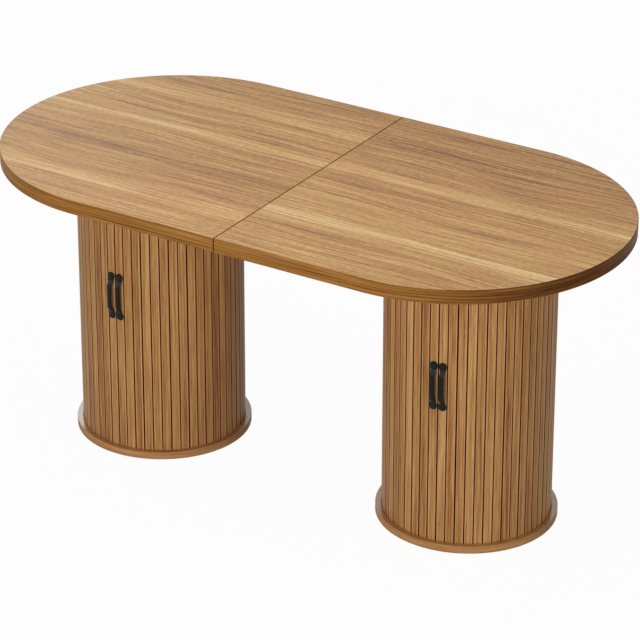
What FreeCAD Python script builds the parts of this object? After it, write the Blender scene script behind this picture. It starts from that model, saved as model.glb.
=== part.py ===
import FreeCAD
import Part

import math
import os

# Oval kitchen table in two halves, standing on two drum cabinets. Each drum opens with a pair of
# sliding tambour doors: slats glued to a canvas backing, whose ends run in round grooves cut in
# the drum's base disc and top disc.
#
# Millimetres. The origin is on the floor under the middle of the top. +X runs along the table,
# the drums open towards -Y, and +Z is up. An azimuth is measured round a drum's own axis from its
# front (-Y) towards +X, which is a right-hand turn about +Z.

# Driving dimensions: the top
TABLE_LENGTH = 1600.0
TABLE_WIDTH = 828.0
TABLE_HEIGHT = 760.0
TOP_THICKNESS = 34.0
SEAM_GAP = 0.6
EDGE_BAND = 1.2
EDGE_BEVEL = 0.8
TONGUE_SIZE = (24.0, 700.0, 6.0)
PLATE_SIZE = (110.0, 36.0, 2.5)
PLATE_Y = (-250.0, 0.0, 250.0)

# Driving dimensions: the drums
DRUM_X = 430.0
DISC_RADIUS = 215.0
DISC_THICKNESS = 19.0
DISC_BEVEL = 1.2
GLIDE_WIDTH = 25.0
GLIDE_HEIGHT = 3.0
GLIDE_CIRCLE = 182.0
GROOVE_DEPTH = 8.0
UPRIGHT_THICKNESS = 15.0
UPRIGHT_INSIDE = 135.0
UPRIGHT_FRONT = -108.0
UPRIGHT_BACK = 90.0
UPRIGHT_HOUSING = 4.0
BACK_PANEL_THICKNESS = 8.0
BACK_PANEL_HOUSING = 4.0
BACK_PANEL_SETBACK = 4.0
SHELF_THICKNESS = 15.0
SHELF_TOP = 372.0
SHELF_FRONT_RADIUS = 172.0
SHELF_CLEARANCE = 0.5
CLEAT_WIDTH = 12.0
CLEAT_Y = (-95.0, 65.0)

# Driving dimensions: the slats, shared by the doors and the fixed back
SLAT_FACE = 200.0
SLATS_PER_TURN = 57
SLAT_WIDTH = 20.0
SLAT_THICKNESS = 8.0
SLAT_CHAMFER = (0.9, 1.2)
CLOTH_THICKNESS = 0.8
DOOR_SLATS = 20
BACK_FACE = 186.0
BACK_SLATS = 20
RUNNING_GAP = 0.5
DOOR_GROOVE = (190.8, 201.0)
STOP_GAP = 0.5

# How far each drum's pair of doors stands round from its front
DOORS_TURNED = {"left_drum": 1.5, "right_drum": 9.0}
# How far each door of a pair slides back from the front of its drum
DOOR_OPEN_TO = 50.0

# Driving dimensions: the bow handles
HANDLE_Z = 422.0
HANDLE_LENGTH = 122.0
HANDLE_PROJECTION = 15.0
HANDLE_FOOT_WIDTH = 19.4
HANDLE_FOOT_THICKNESS = 4.8
HANDLE_FOOT_LENGTH = 20.0
HANDLE_BAR_WIDTH = 12.0
HANDLE_BAR_THICKNESS = 5.5
HANDLE_SHOULDER = 11.0
HANDLE_BEND_RADIUS = 5.0

# Heights and angles that follow
TOP_LOW = TABLE_HEIGHT - TOP_THICKNESS
DRUM_LOW = GLIDE_HEIGHT + DISC_THICKNESS
DRUM_HIGH = TOP_LOW - DISC_THICKNESS
SLAT_PITCH = 360.0 / SLATS_PER_TURN
BACK_PITCH = SLAT_PITCH * SLAT_FACE / BACK_FACE
DOOR_BACK = SLAT_FACE - SLAT_THICKNESS
UP = FreeCAD.Vector(0, 0, 1)


def prism(points, low, high):
    """Solid with a closed outline in plan, between two heights."""
    corners = [FreeCAD.Vector(x, y, low) for x, y in points]
    outline = Part.makePolygon(corners + corners[:1])
    return Part.Face(outline).extrude(UP * (high - low))


def box(low, high):
    """Box between its lowest and its highest corner."""
    size = [b - a for a, b in zip(low, high)]
    return Part.makeBox(*size, FreeCAD.Vector(*low))


def turned(shape, azimuth):
    """Copy of a shape, turned round the drum's axis."""
    copy = shape.copy()
    copy.rotate(FreeCAD.Vector(), UP, azimuth)
    return copy


def plan_point(across, out, azimuth):
    """Plan point that lies across and out from the axis, looking along an azimuth."""
    point = FreeCAD.Placement(FreeCAD.Vector(), FreeCAD.Rotation(UP, azimuth)).multVec(
        FreeCAD.Vector(across, -out, 0)
    )
    return point.x, point.y


def revolved(profile):
    """Solid turned round the drum's axis from an outline of radii and heights."""
    corners = [FreeCAD.Vector(radius, 0, z) for radius, z in profile]
    outline = Part.makePolygon(corners + corners[:1])
    return Part.Face(outline).revolve(FreeCAD.Vector(), UP, 360)


# The top


def half_oval(inset, low, high):
    """Right half of the top's outline, from the seam to its round end, drawn in by an inset."""
    radius = TABLE_WIDTH / 2 - inset
    end = TABLE_LENGTH / 2 - TABLE_WIDTH / 2
    seam = SEAM_GAP / 2
    near_seam = FreeCAD.Vector(seam, -radius, low)
    near_end = FreeCAD.Vector(end, -radius, low)
    far_end = FreeCAD.Vector(end, radius, low)
    far_seam = FreeCAD.Vector(seam, radius, low)
    tip = FreeCAD.Vector(end + radius, 0, low)
    edges = [
        Part.makeLine(near_seam, near_end),
        Part.Arc(near_end, tip, far_end).toShape(),
        Part.makeLine(far_end, far_seam),
        Part.makeLine(far_seam, near_seam),
    ]
    return Part.Face(Part.Wire(edges)).extrude(UP * (high - low))


def on_outline(edge):
    """True for a level edge that runs round the outside of the half top."""
    level = edge.BoundBox.ZLength < 1e-6
    return level and edge.BoundBox.XMax > SEAM_GAP


def edge_band():
    """Band glued round the half top's outside, with its two long corners eased."""
    outside = half_oval(0, TOP_LOW, TABLE_HEIGHT)
    eased = outside.makeChamfer(EDGE_BEVEL, [e for e in outside.Edges if on_outline(e)])
    return eased.cut(half_oval(EDGE_BAND, TOP_LOW, TABLE_HEIGHT))


def seam_tongue():
    """Loose tongue that lines up the two halves, let into both sides of the seam."""
    width, length, thickness = TONGUE_SIZE
    middle = TOP_LOW + TOP_THICKNESS / 2
    low = (-width / 2, -length / 2, middle - thickness / 2)
    high = (width / 2, length / 2, middle + thickness / 2)
    return box(low, high)


def seam_plates():
    """Flat steel plates that join the two halves from below."""
    length, width, thickness = PLATE_SIZE
    plates = []
    for y in PLATE_Y:
        low = (-length / 2, y - width / 2, TOP_LOW - thickness)
        high = (length / 2, y + width / 2, TOP_LOW)
        plates.append(box(low, high))
    return Part.makeCompound(plates)


def build_top():
    """Both halves of the top, with what joins them."""
    tongue = seam_tongue()
    board = half_oval(EDGE_BAND, TOP_LOW, TABLE_HEIGHT).cut(tongue)
    band = edge_band()
    return {
        "top_board_right": board,
        "top_board_left": turned(board, 180),
        "edge_band_right": band,
        "edge_band_left": turned(band, 180),
        "seam_tongue": tongue,
        "seam_plates": seam_plates(),
    }


# The slatted curtains


def slat(face, azimuth, low, high):
    """One slat, flat behind and chamfered in front, its face at a distance from the axis."""
    across, deep = SLAT_CHAMFER
    half = SLAT_WIDTH / 2
    back = face - SLAT_THICKNESS
    right = [(half, back), (half, face - deep), (half - across, face)]
    outline = right + [(-x, out) for x, out in reversed(right)]
    return prism([plan_point(x, out, azimuth) for x, out in outline], low, high)


def backing_line(distance, centres, pitch):
    """Plan line along the backs of a row of slats, from one outer edge to the other."""
    fold = distance * math.tan(math.radians(pitch / 2))
    line = [plan_point(-SLAT_WIDTH / 2, distance, centres[0])]
    line += [plan_point(fold, distance, centre) for centre in centres[:-1]]
    line.append(plan_point(SLAT_WIDTH / 2, distance, centres[-1]))
    return line


def backing_cloth(distance, centres, pitch):
    """Canvas glued to the backs of a row of slats, clear of both grooves."""
    outside = backing_line(distance, centres, pitch)
    inside = backing_line(distance - CLOTH_THICKNESS, centres, pitch)
    return prism(outside + inside[::-1], DRUM_LOW + RUNNING_GAP, DRUM_HIGH - RUNNING_GAP)


# The bow handles


def handle_side():
    """Handle seen from its side: feet flat on the slat, sloped shoulders and a straight grip."""
    end = HANDLE_LENGTH / 2
    foot_in = end - HANDLE_FOOT_LENGTH
    grip = foot_in - HANDLE_SHOULDER
    under = HANDLE_PROJECTION - HANDLE_BAR_THICKNESS
    half = [
        (end, 0),
        (end, HANDLE_FOOT_THICKNESS),
        (foot_in, HANDLE_FOOT_THICKNESS),
        (grip, HANDLE_PROJECTION),
    ]
    half_under = [(grip - 2.0, under), (foot_in - 4.0, 0)]
    outer = half + [(-z, out) for z, out in reversed(half)]
    inner = [(-z, out) for z, out in reversed(half_under)] + half_under
    corners = [FreeCAD.Vector(-HANDLE_FOOT_WIDTH / 2, -out, z) for z, out in outer + inner]
    side = Part.Face(Part.makePolygon(corners + corners[:1]))
    bar = side.extrude(FreeCAD.Vector(HANDLE_FOOT_WIDTH, 0, 0))
    return bar.makeFillet(HANDLE_BEND_RADIUS, [e for e in bar.Edges if is_bend(e)])


def is_bend(edge):
    """True for the edges across the handle where it bends between a foot and the grip."""
    box_of_edge = edge.BoundBox
    off_slat = box_of_edge.YMax < -1
    return off_slat and box_of_edge.XLength > 1 and abs(box_of_edge.ZMin) < HANDLE_LENGTH / 2 - 1


def handle_front():
    """Handle seen from the front: round feet that narrow to the grip, as deep as the handle."""
    foot = HANDLE_FOOT_WIDTH / 2
    grip = HANDLE_BAR_WIDTH / 2
    centre = HANDLE_LENGTH / 2 - foot
    narrow = HANDLE_LENGTH / 2 - HANDLE_FOOT_LENGTH - 1.0
    right = [FreeCAD.Vector(x, 0, z) for x, z in ((foot, centre), (foot - 1.0, centre - 4.0), (grip, narrow))]
    right += [FreeCAD.Vector(p.x, 0, -p.z) for p in reversed(right)]
    left = [FreeCAD.Vector(-p.x, 0, p.z) for p in reversed(right)]
    top = FreeCAD.Vector(0, 0, HANDLE_LENGTH / 2)
    bottom = FreeCAD.Vector(0, 0, -HANDLE_LENGTH / 2)
    edges = Part.makePolygon(right).Edges + Part.makePolygon(left).Edges
    edges.append(Part.Arc(right[-1], bottom, left[0]).toShape())
    edges.append(Part.Arc(left[-1], top, right[0]).toShape())
    outline = Part.Wire(Part.__sortEdges__(edges))
    return Part.Face(outline).extrude(FreeCAD.Vector(0, -HANDLE_PROJECTION, 0))


def handle():
    """Bow handle on a slat that faces -Y, standing on its face."""
    shape = handle_side().common(handle_front())
    shape.translate(FreeCAD.Vector(0, -SLAT_FACE, HANDLE_Z))
    return shape


# The doors


def build_door(side, meeting):
    """One tambour door. side is -1 or +1 from the pair's meeting line, at an azimuth."""
    centres = sorted(meeting + side * SLAT_PITCH * (k + 0.5) for k in range(DOOR_SLATS))
    leading = meeting + side * SLAT_PITCH / 2
    low = DRUM_LOW - GROOVE_DEPTH + RUNNING_GAP
    high = DRUM_HIGH + GROOVE_DEPTH - RUNNING_GAP
    slats = [slat(SLAT_FACE, centre, low, high) for centre in centres]
    return {
        "slats": Part.makeCompound(slats),
        "cloth": backing_cloth(DOOR_BACK, centres, SLAT_PITCH),
        "handle": turned(handle(), leading),
    }


# The drums


def disc():
    """Drum disc with its plain face down and the groove that the doors run in on top."""
    inner, outer = DOOR_GROOVE
    floor = DISC_THICKNESS - GROOVE_DEPTH
    return revolved(
        [
            (0, 0),
            (DISC_RADIUS, 0),
            (DISC_RADIUS, DISC_THICKNESS),
            (outer, DISC_THICKNESS),
            (outer, floor),
            (inner, floor),
            (inner, DISC_THICKNESS),
            (0, DISC_THICKNESS),
        ]
    )


def on_upper_rim(edge):
    """True for the edge round the outside of a disc's grooved face."""
    bounds = edge.BoundBox
    return bounds.ZMin > DISC_THICKNESS / 2 and bounds.XMax > DISC_RADIUS - 0.1


def base_disc(uprights):
    """Disc that the drum stands on: its groove opens upwards and its upper rim is bevelled."""
    shape = disc()
    shape = shape.makeChamfer(DISC_BEVEL, [e for e in shape.Edges if on_upper_rim(e)])
    shape.translate(UP * GLIDE_HEIGHT)
    return shape.cut(uprights)


def top_disc(uprights):
    """Disc under the table top, turned over so that its groove opens downwards."""
    shape = disc()
    shape.rotate(FreeCAD.Vector(), FreeCAD.Vector(0, 1, 0), 180)
    shape.translate(UP * TOP_LOW)
    return shape.cut(uprights)


def back_panel():
    """Thin panel behind the shelf, housed in both uprights."""
    reach = UPRIGHT_INSIDE + BACK_PANEL_HOUSING
    rear = UPRIGHT_BACK - BACK_PANEL_SETBACK
    front = rear - BACK_PANEL_THICKNESS
    return box((-reach, front, DRUM_LOW), (reach, rear, DRUM_HIGH))


def upright(panel):
    """Right-hand load-carrying side of the carcass, housed in both discs and round the panel."""
    inside = UPRIGHT_INSIDE
    low = (inside, UPRIGHT_FRONT, DRUM_LOW - UPRIGHT_HOUSING)
    high = (inside + UPRIGHT_THICKNESS, UPRIGHT_BACK, DRUM_HIGH + UPRIGHT_HOUSING)
    return box(low, high).cut(panel)


def cleat():
    """Right-hand strip that one end of the shelf lies on."""
    rest = SHELF_TOP - SHELF_THICKNESS
    front, rear = CLEAT_Y
    low = (UPRIGHT_INSIDE - CLEAT_WIDTH, front, rest - CLEAT_WIDTH)
    return box(low, (UPRIGHT_INSIDE, rear, rest))


def mirrored(shape):
    """The same piece on the other side of the drum."""
    return shape.mirror(FreeCAD.Vector(), FreeCAD.Vector(1, 0, 0))


def shelf():
    """Loose shelf whose front follows the inside of the doors."""
    half = UPRIGHT_INSIDE - SHELF_CLEARANCE
    front = -math.sqrt(SHELF_FRONT_RADIUS**2 - half**2)
    rear = UPRIGHT_BACK - BACK_PANEL_SETBACK - BACK_PANEL_THICKNESS - SHELF_CLEARANCE
    low = SHELF_TOP - SHELF_THICKNESS
    right_front = FreeCAD.Vector(half, front, low)
    middle = FreeCAD.Vector(0, -SHELF_FRONT_RADIUS, low)
    left_front = FreeCAD.Vector(-half, front, low)
    left_rear = FreeCAD.Vector(-half, rear, low)
    right_rear = FreeCAD.Vector(half, rear, low)
    edges = [
        Part.Arc(right_front, middle, left_front).toShape(),
        Part.makeLine(left_front, left_rear),
        Part.makeLine(left_rear, right_rear),
        Part.makeLine(right_rear, right_front),
    ]
    return Part.Face(Part.Wire(edges)).extrude(UP * SHELF_THICKNESS)


def glides():
    """Four square felt pads under the base disc."""
    half = GLIDE_WIDTH / 2
    pad = box((-half, -GLIDE_CIRCLE - half, 0), (half, -GLIDE_CIRCLE + half, GLIDE_HEIGHT))
    return Part.makeCompound([turned(pad, azimuth) for azimuth in (45, 135, 225, 315)])


def door_stop():
    """Block in the rear of the base disc's groove, which both doors stop against."""
    inner, outer = DOOR_BACK, SLAT_FACE
    last_slat = DOOR_OPEN_TO + SLAT_PITCH * (DOOR_SLATS - 0.5)
    middle = math.radians(180 - last_slat)
    half = inner * math.sin(middle) - SLAT_WIDTH / 2 * math.cos(middle) - STOP_GAP
    return box((-half, inner, DRUM_LOW - GROOVE_DEPTH), (half, outer, DRUM_LOW))


def back_centres():
    """Azimuths of the fixed back slats, even about the rear of the drum."""
    first = 180 - BACK_PITCH * (BACK_SLATS - 1) / 2
    return [first + BACK_PITCH * k for k in range(BACK_SLATS)]


def build_carcass():
    """Everything in a drum that doesn't move, round the drum's own axis."""
    panel = back_panel()
    right = upright(panel)
    left = mirrored(right)
    centres = back_centres()
    slats = [slat(BACK_FACE, centre, DRUM_LOW, DRUM_HIGH) for centre in centres]
    return {
        "base_disc": base_disc([left, right]),
        "top_disc": top_disc([left, right]),
        "upright_left": left,
        "upright_right": right,
        "back_panel": panel,
        "shelf": shelf(),
        "shelf_cleats": Part.makeCompound([mirrored(cleat()), cleat()]),
        "back_slats": Part.makeCompound(slats),
        "back_cloth": backing_cloth(BACK_FACE - SLAT_THICKNESS, centres, BACK_PITCH),
        "glides": glides(),
        "door_stop": door_stop(),
    }


def moved(shape, x):
    """Copy of a shape, moved along the table."""
    copy = shape.copy()
    copy.translate(FreeCAD.Vector(x, 0, 0))
    return copy


def build():
    """Every node of the table, by name."""
    drums = {"left_drum": -DRUM_X, "right_drum": DRUM_X}
    nodes = build_top()
    for drum, x in drums.items():
        for name, shape in build_carcass().items():
            nodes[f"{drum}_{name}"] = moved(shape, x)
        for door, side in (("left_door", -1), ("right_door", 1)):
            for name, shape in build_door(side, DOORS_TURNED[drum]).items():
                nodes[f"{drum}_{door}_{name}"] = moved(shape, x)
    return nodes


os.makedirs("parts", exist_ok=True)
for node, solid in build().items():
    solid.exportStep(f"parts/{node}.step")
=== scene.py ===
import random
from math import atan2, cos, degrees, hypot, pi, radians, sin, tan

import bpy
from mathutils import Matrix, Vector


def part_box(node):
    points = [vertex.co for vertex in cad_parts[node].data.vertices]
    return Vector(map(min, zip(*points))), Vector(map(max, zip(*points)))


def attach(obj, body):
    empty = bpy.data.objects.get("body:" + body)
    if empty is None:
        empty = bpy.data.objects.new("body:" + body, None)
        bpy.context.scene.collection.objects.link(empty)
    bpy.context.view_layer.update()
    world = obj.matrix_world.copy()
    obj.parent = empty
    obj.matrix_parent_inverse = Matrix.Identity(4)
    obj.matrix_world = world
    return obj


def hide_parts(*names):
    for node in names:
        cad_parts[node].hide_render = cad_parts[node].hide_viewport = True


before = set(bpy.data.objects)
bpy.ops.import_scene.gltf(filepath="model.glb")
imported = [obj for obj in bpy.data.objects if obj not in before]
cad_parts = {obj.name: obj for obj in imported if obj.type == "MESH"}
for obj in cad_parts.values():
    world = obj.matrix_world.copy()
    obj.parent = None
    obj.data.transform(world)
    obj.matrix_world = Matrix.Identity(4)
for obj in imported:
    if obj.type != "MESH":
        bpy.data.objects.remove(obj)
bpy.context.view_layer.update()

# Oval kitchen table in two halves on two drum cabinets with sliding tambour doors. Metres, in the
# frame of the CAD: the origin is on the floor under the middle of the top, +X along the table,
# the drums open towards -Y. An azimuth is measured round a drum from its front towards +X.

# The top
TABLE_LENGTH = 1.600
TABLE_WIDTH = 0.828
END_RADIUS = TABLE_WIDTH / 2
END_X = TABLE_LENGTH / 2 - END_RADIUS
TOP_HIGH = 0.760
TOP_LOW = 0.726
SEAM_GAP = 0.0006
EDGE_BAND = 0.0012
EDGE_EASE = 0.0008
SEAM_EASE = 0.0009
BAND_SEAM_EASE = 0.0006
END_CORNERS = 256
PLATE_SIZE = (0.110, 0.036, 0.0025)
PLATE_CORNER = 0.008
PLATE_Y = (-0.250, 0.0, 0.250)
PLATE_SCREW_X = (-0.044, -0.019, 0.019, 0.044)

# The drums
DRUMS = {"left_drum": -0.430, "right_drum": 0.430}
PAD_SIZE = (0.025, 0.025, 0.003)
PAD_CORNER = 0.004
PAD_DISTANCE = 0.182
DISC_LOW = 0.003
DISC_RADIUS = 0.215
DISC_THICKNESS = 0.019
RIM_EASE = 0.0012
LIP_EASE = 0.0005
DRUM_LOW = 0.022
DRUM_HIGH = 0.707
GROOVE_INNER = 0.1908
GROOVE_OUTER = 0.2010
GROOVE_DEPTH = 0.008
UPRIGHT_X = (0.135, 0.150)
UPRIGHT_Y = (-0.108, 0.090)
BACK_PANEL_Y = (0.078, 0.086)
SHELF_TOP = 0.372
SHELF_THICKNESS = 0.015
SHELF_FRONT = 0.172
SHELF_PLAY = 0.0005
BOARD_EASE = 0.0006
CLEAT = 0.012
CLEAT_Y = (-0.095, 0.065)
CLEAT_HIGH = SHELF_TOP - SHELF_THICKNESS

# The slatted curtains: 57 door slats, or 53 slats of the backs, would close the full round
SLATS_ROUND = 57
SLAT_FACE = 0.200
SLAT_WIDTH = 0.020
SLAT_THICKNESS = 0.008
SLAT_EASE = 0.0007
SLAT_CUTS = 7
SLAT_STRAY = 0.0004
SLAT_TONE = 0.52
TONE_SPREAD = 0.085
TONE_STEP = 0.04
TONE_LIMITS = (0.30, 0.74)
SLAT_PITCH = 360 / SLATS_ROUND
DOOR_SLATS = 20
DOOR_SLAT_LOW = 0.0145
DOOR_SLAT_HIGH = 0.7145
BACK_ROUND = 53
BACK_FACE = 0.186
BACK_PITCH = SLAT_PITCH * SLAT_FACE / BACK_FACE
BACK_SLATS = 20
CLOTH_THICKNESS = 0.0008
CLOTH_LOW = DRUM_LOW + 0.0005
CLOTH_HIGH = DRUM_HIGH - 0.0005
CLOTH_ROWS = 12
CLOTH_CUT_BACK = 0.0006
DOORS_TURNED = {"left_drum": 1.5, "right_drum": 9.0}
DOOR_SIDES = {"left_door": -1, "right_door": 1}

# Screws: the domed head, and where the drums' screws go
SCREW_RADIUS = 0.0042
SCREW_HEIGHT = 0.0017
CLEAT_SCREW_Y = (-0.070, 0.040)
TOP_DISC_SCREW_X = 0.095
TOP_DISC_SCREW_Y = (-0.095, 0.045)
BASE_DISC_SCREW_X = sum(UPRIGHT_X) / 2
BASE_DISC_SCREW_Y = (-0.085, 0.0, 0.070)

# The bow handles. Their stations are in millimetres, from the upper foot to the middle: distance from
# the handle's middle, inner and outer distance from the slat's face, half width
HANDLE_Z = 0.422
HANDLE_SCREW_Z = 0.0515
HANDLE_STATIONS = [
    (60.9, 1.2, 2.6, 1.4), (60.3, 0.5, 3.4, 3.9), (59.0, 0.1, 4.1, 6.1), (57.0, 0.0, 4.5, 8.0),
    (54.6, 0.0, 4.7, 9.2), (51.5, 0.0, 4.8, 9.65), (48.2, 0.0, 4.8, 9.2), (45.4, 0.0, 4.8, 8.4),
    (43.0, 0.0, 4.9, 7.5), (41.2, 0.0, 5.3, 6.9), (39.6, 0.0, 6.4, 6.5), (37.0, 1.1, 8.8, 6.2),
    (33.4, 4.3, 12.0, 6.1), (31.4, 6.2, 13.9, 6.05), (30.2, 7.3, 14.7, 6.0), (28.4, 8.7, 15.0, 6.0),
    (26.0, 9.3, 15.0, 6.0), (8.0, 9.5, 15.0, 6.0),
]

# Camera: its place, its turn, dip and roll in degrees, and its lens in millimetres
CAMERA_PLACE = (3.9451, -6.2780, 4.0154)
CAMERA_TURN = 31.996
CAMERA_DIP = 26.081
CAMERA_ROLL = 0.064
CAMERA_LENS = 195.9


# Working on one piece at a time


def take_up(*pieces):
    """Selects these pieces alone, and makes the last one active."""
    bpy.ops.object.select_all(action="DESELECT")
    for piece in pieces:
        piece.select_set(True)
    bpy.context.view_layer.objects.active = pieces[-1]


def called(piece, name):
    """Names a piece and its mesh."""
    piece.name = name
    piece.data.name = name
    return piece


def named(name):
    """Names the new primitive and puts its place, turn and size in its mesh."""
    piece = called(bpy.context.object, name)
    take_up(piece)
    bpy.ops.object.transform_apply(location=True, rotation=True, scale=True)
    return piece


def block(name, middle, size, azimuth=0):
    """New box of a size about its middle."""
    bpy.ops.mesh.primitive_cube_add(size=1, location=middle, rotation=(0, 0, radians(azimuth)), scale=size)
    return named(name)


def round_block(name, radius, low, high, corners, x=0, ends="NGON"):
    """New cylinder that stands between two heights."""
    middle = (x, 0, (low + high) / 2)
    bpy.ops.mesh.primitive_cylinder_add(
        vertices=corners, radius=radius, depth=high - low, location=middle, end_fill_type=ends
    )
    return named(name)


def none_picked(piece, kind):
    """Leaves edit mode with none of a piece's faces or edges selected."""
    take_up(piece)
    bpy.ops.object.mode_set(mode="EDIT")
    bpy.ops.mesh.select_mode(type=kind)
    bpy.ops.mesh.select_all(action="DESELECT")
    put_down()


def with_faces(piece, test):
    """Enters edit mode with the faces selected that a test of centre and normal picks."""
    none_picked(piece, "FACE")
    for face in piece.data.polygons:
        face.select = bool(test(face.center, face.normal))
    bpy.ops.object.mode_set(mode="EDIT")


def with_edges(piece, test):
    """Enters edit mode with the edges selected that a test of their two ends picks."""
    none_picked(piece, "EDGE")
    points = piece.data.vertices
    for edge in piece.data.edges:
        edge.select = bool(test(points[edge.vertices[0]].co, points[edge.vertices[1]].co))
    bpy.ops.object.mode_set(mode="EDIT")


def anywhere(*place):
    """Test that picks every face or edge."""
    return True


def near(a, b, within=1e-6):
    """Whether two sizes are as good as the same."""
    return abs(a - b) < within


def put_down():
    """Leaves edit mode."""
    bpy.ops.object.mode_set(mode="OBJECT")


def drawn_out(*move):
    """Extrudes what is selected by a move, and stays in edit mode."""
    bpy.ops.mesh.extrude_region_move(TRANSFORM_OT_translate={"value": move})


def ease(width, steps=2):
    """Rounds the selected edges, then leaves edit mode."""
    bpy.ops.mesh.bevel(offset=width, segments=steps, affect="EDGES", clamp_overlap=True)
    put_down()


def worked(piece, kind, **settings):
    """Adds a modifier and applies it."""
    take_up(piece)
    modifier = piece.modifiers.new(kind.title(), kind)
    for name, value in settings.items():
        setattr(modifier, name, value)
    bpy.ops.object.modifier_apply(modifier=modifier.name)
    return piece


def eased_all(piece, width):
    """Rounds every sharp edge of a piece."""
    return worked(piece, "BEVEL", width=width, segments=2, limit_method="ANGLE", angle_limit=radians(35))


def smoothed(piece, angle=35):
    """Shades a piece smooth, but for its edges sharper than an angle. Its broad faces stay flat."""
    take_up(piece)
    bpy.ops.object.shade_smooth_by_angle(angle=radians(angle))
    return worked(piece, "WEIGHTED_NORMAL", keep_sharp=True)


def copied(piece, name, place=Matrix.Identity(4)):
    """Copy of a piece with its own mesh, moved by a matrix in its mesh."""
    twin = piece.copy()
    twin.data = piece.data.copy()
    twin.data.transform(place)
    bpy.context.scene.collection.objects.link(twin)
    return called(twin, name)


def joined(pieces, name):
    """Makes one piece of several."""
    take_up(*pieces)
    bpy.ops.object.join()
    return called(bpy.context.object, name)


def thrown_away(*pieces):
    """Removes patterns that have been copied."""
    for piece in pieces:
        bpy.data.objects.remove(piece)


def finished(piece, *finishes):
    """Gives a piece its finishes, in the order of its faces' material numbers."""
    numbers = [face.material_index for face in piece.data.polygons]
    piece.data.materials.clear()
    for finish in finishes:
        piece.data.materials.append(finish)
    for face, number in zip(piece.data.polygons, numbers):
        face.material_index = min(number, len(finishes) - 1)
    return piece


def second_finish_on(piece, test):
    """Marks the faces that take a piece's second finish."""
    for face in piece.data.polygons:
        face.material_index = int(bool(test(face.center, face.normal)))


def fitted(piece, body, slot, *nodes):
    """Puts a piece on its body, in place of its CAD nodes, which it hides. Its slot is not used."""
    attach(piece, body)
    if nodes:
        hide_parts(*nodes)


def turn(azimuth):
    """Matrix of a turn about the upright axis."""
    return Matrix.Rotation(radians(azimuth), 4, "Z")


def along_table(x):
    """Matrix of a move along the table."""
    return Matrix.Translation((x, 0, 0))


def board(name, low, high, ease_width=BOARD_EASE):
    """Board between its lowest and highest corner, with eased edges."""
    low, high = Vector(low), Vector(high)
    return eased_all(block(name, (low + high) / 2, high - low), ease_width)


# Finishes. A node's inputs are numbered: a Map Range takes input 0 from between 1 and 2 to between
# 3 and 4, which are 0 and 1 where they are left out, and a Mix of colours takes 6 to 7 as 0 goes up.


def linear(code):
    """Linear colour of an sRGB hex code."""
    shares = [int(code[i : i + 2], 16) / 255 for i in (1, 3, 5)]
    return (*[s / 12.92 if s <= 0.04045 else ((s + 0.055) / 1.055) ** 2.4 for s in shares], 1)


def new_finish(name):
    """New material and its tree."""
    finish = bpy.data.materials.new(name)
    finish.use_nodes = True
    return finish, finish.node_tree


def plugged(tree, node, inputs):
    """Gives a node's inputs a number, a colour's hex code, a socket, or a node's first live output."""
    for key, value in inputs.items():
        if isinstance(value, bpy.types.Node):
            value = next(output for output in value.outputs if output.enabled)
        if isinstance(value, bpy.types.NodeSocket):
            tree.links.new(value, node.inputs[key])
        else:
            node.inputs[key].default_value = linear(value) if isinstance(value, str) else value
    return node


def add(tree, kind, inputs=None, stops=None, **settings):
    """Adds a node with its settings, its stops if it is a ramp, and its inputs."""
    node = tree.nodes.new("ShaderNode" + kind)
    for name, value in settings.items():
        setattr(node, name, value)
    if stops:
        ramp = node.color_ramp
        while len(ramp.elements) > 1:
            ramp.elements.remove(ramp.elements[-1])
        for index, (place, colour) in enumerate(stops):
            stop = ramp.elements[0] if index == 0 else ramp.elements.new(place)
            stop.position = place
            stop.color = linear(colour) if isinstance(colour, str) else (colour, colour, colour, 1)
    return plugged(tree, node, inputs or {})


def surfaced(finish, colour, roughness, relief=None, specular=0.5, ior=1.5, **others):
    """Sets a finish's own shader and hands the finish back. Its relief is a field of heights, a
    strength and a depth in metres."""
    tree = finish.node_tree
    inputs = {"Base Color": colour, "Roughness": roughness, "Specular IOR Level": specular, "IOR": ior}
    if relief:
        height, strength, depth = relief
        inputs["Normal"] = add(tree, "Bump", {"Height": height, "Strength": strength, "Distance": depth})
    plugged(tree, tree.nodes["Principled BSDF"], {**inputs, **others})
    return finish


def own_place(tree):
    """The place of a point in the piece."""
    return add(tree, "TexCoord").outputs["Object"]


def streaks(tree, per_metre, detail=3, rough=0.55, warp=0, place=None):
    """Noise stretched along the grain. per_metre is how many of its cells a metre holds along each
    axis: 1000 divided by the real size in millimetres that the comment beside it gives."""
    place = place or own_place(tree)
    scaled = add(tree, "VectorMath", {0: place, 1: per_metre}, operation="MULTIPLY")
    looks = {"Scale": 1, "Detail": detail, "Roughness": rough, "Distortion": warp}
    return add(tree, "TexNoise", {"Vector": scaled, **looks})


def sums(tree, start, *terms):
    """A number plus each of several fields less its middle, times its weight."""
    total = start
    for field, middle, weight in terms:
        off = add(tree, "Math", {0: field, 1: middle}, operation="SUBTRACT")
        total = add(tree, "Math", {0: off, 1: weight, 2: total}, operation="MULTIPLY_ADD")
    return total


def seam_core_and_shade(tree, x, colour, core_and_shade, specular, start, end):
    """Colour and specular level of a finish that shows a darker colour at the seam, and fades to its
    own between two distances from it. It is partly the core at the eased edges, and partly painted
    shade of the seam's gap, painted past the eased edges with no specular."""
    away = add(tree, "Math", {0: x}, operation="ABSOLUTE")
    core_and_shade_mask = add(tree, "MapRange", {0: away, 1: start, 2: end, 3: 1, 4: 0})
    shown = add(tree, "Mix", {0: core_and_shade_mask, 6: colour, 7: core_and_shade}, data_type="RGBA")
    return shown, add(tree, "MapRange", {0: core_and_shade_mask, 3: specular, 4: 0})


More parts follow.
